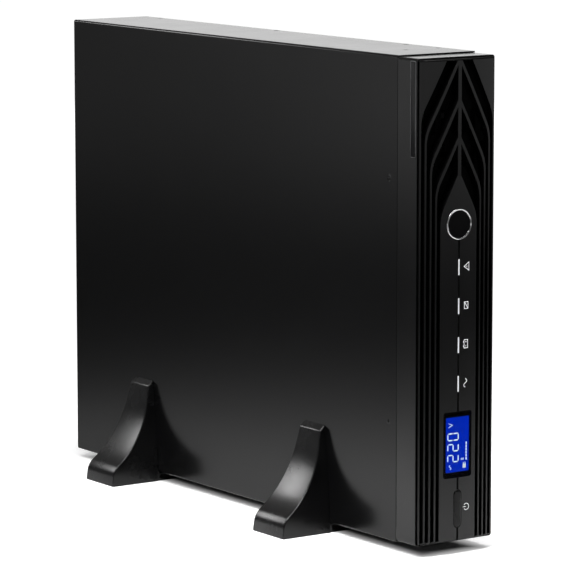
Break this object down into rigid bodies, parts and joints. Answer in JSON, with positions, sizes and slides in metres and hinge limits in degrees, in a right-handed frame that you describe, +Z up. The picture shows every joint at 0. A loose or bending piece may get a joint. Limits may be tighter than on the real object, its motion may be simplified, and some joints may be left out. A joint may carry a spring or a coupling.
{
  "type": "uninterruptible power supply",
  "caption": "Black rack and tower uninterruptible power supply standing on edge on flared stands, with a leaf-grooved bezel, blue display, power button and rear outlets.",
  "frame": {"origin": "centre of the footprint on the floor under the stands, halfway along the depth from the button's face to the breaker button", "axes": "+Z up, -Y out of the front bezel, +Y out of the rear panel, -X towards the cover's large side, so X runs across the thin way"},
  "size_m": [0.1924, 0.5874, 0.447],
  "materials": {
    "cover_paint": "fine black powder coat",
    "panel_paint": "black powder coat",
    "inner_sheet": "zinc plated sheet",
    "bezel_plastic": "fine grained black",
    "fascia_plastic": "satin black",
    "panel_plastic": "satin black",
    "groove_black": "dull black",
    "stand_plastic": "semi gloss black",
    "dark_screw": "black oxide",
    "bright_steel": "nickel plated",
    "badge_chrome": "polished ring",
    "badge_black": "polished black",
    "light_guide": "translucent white",
    "display_glass": "clear window",
    "display_blue": "backlit blue",
    "button_plastic": "satin black key",
    "socket_plastic": "black thermoset",
    "battery_connector": "dull red",
    "terminal_green": "green terminal",
    "breaker_red": "red button",
    "earth_brass": "yellow plated",
    "fan_plastic": "glass filled black",
    "guard_wire": "plated wire",
    "circuit_board": "green solder mask",
    "heatsink_alloy": "extruded",
    "part_black": "moulded black",
    "copper_winding": "enamelled copper",
    "transformer_yellow": "taped winding",
    "relay_blue": "blue case",
    "battery_case": "dark grey case",
    "runner_nylon": "natural nylon",
    "ribbon_grey": "grey flat cable"
  },
  "bodies": {
    "chassis": {"case_cover": "cover_paint", "chassis_base": "cover_paint", "front_panel": "inner_sheet", "rear_panel": "panel_paint", "bay_divider": "inner_sheet", "ear_nuts": "bright_steel", "case_screws": "dark_screw", "stand_front_left": "stand_plastic", "stand_front_right": "stand_plastic", "stand_rear_left": "stand_plastic", "stand_rear_right": "stand_plastic", "tray_runners": "runner_nylon", "battery_tray": "inner_sheet", "lower_batteries": "battery_case", "upper_batteries": "battery_case", "battery_straps": "copper_winding", "battery_door": "inner_sheet", "door_screws": "bright_steel", "main_board": "circuit_board", "board_standoffs": "earth_brass", "heatsinks": "heatsink_alloy", "power_transistors": "part_black", "bus_capacitors": "part_black", "power_chokes": "copper_winding", "charger_transformer": "transformer_yellow", "relays": "relay_blue", "control_board": "circuit_board", "filter_board": "circuit_board", "upper_fan_frame": "fan_plastic", "lower_fan_frame": "fan_plastic", "fan_guards": "guard_wire", "fan_screws": "dark_screw", "mains_inlet": "socket_plastic", "inlet_blades": "bright_steel", "large_outlet": "socket_plastic", "outlet_strips": "socket_plastic", "breaker_body": "socket_plastic", "usb_port": "bright_steel", "serial_port": "bright_steel", "power_off_terminal": "terminal_green", "slot_cover": "panel_paint", "slot_screws": "bright_steel", "battery_socket": "battery_connector", "earth_screw": "earth_brass"},
    "bezel": {"bezel_frame": "bezel_plastic", "fascia": "fascia_plastic", "control_panel": "panel_plastic", "grille_backing": "groove_black", "badge_ring": "badge_chrome", "badge_disc": "badge_black", "light_bars": "light_guide", "lcd_window": "display_glass", "lcd_module": "display_blue", "display_board": "circuit_board", "button_switch": "part_black", "ribbon_cable": "ribbon_grey"},
    "power_button": {"power_button": "button_plastic"},
    "upper_fan": {"upper_fan_rotor": "fan_plastic"},
    "lower_fan": {"lower_fan_rotor": "fan_plastic"},
    "breaker_button": {"breaker_button": "breaker_red"}
  },
  "joints": [
    {"name": "bezel_pull", "type": "slide", "parent": "chassis", "child": "bezel", "axis": [0, -1, 0], "range_m": [0, 0.04], "deforming": ["ribbon_cable"]},
    {"name": "power_button_press", "type": "slide", "parent": "bezel", "child": "power_button", "axis": [0, 1, 0], "range_m": [0, 0.0015], "stiffness_N_per_m": 600},
    {"name": "upper_fan_spin", "type": "hinge", "parent": "chassis", "child": "upper_fan", "pos_m": [0, 0.27, 0.4], "axis": [0, 1, 0], "continuous": true},
    {"name": "lower_fan_spin", "type": "hinge", "parent": "chassis", "child": "lower_fan", "pos_m": [0, 0.27, 0.315], "axis": [0, 1, 0], "continuous": true},
    {"name": "breaker_trip", "type": "slide", "parent": "chassis", "child": "breaker_button", "axis": [0, 1, 0], "range_m": [0, 0.003]}
  ]
}
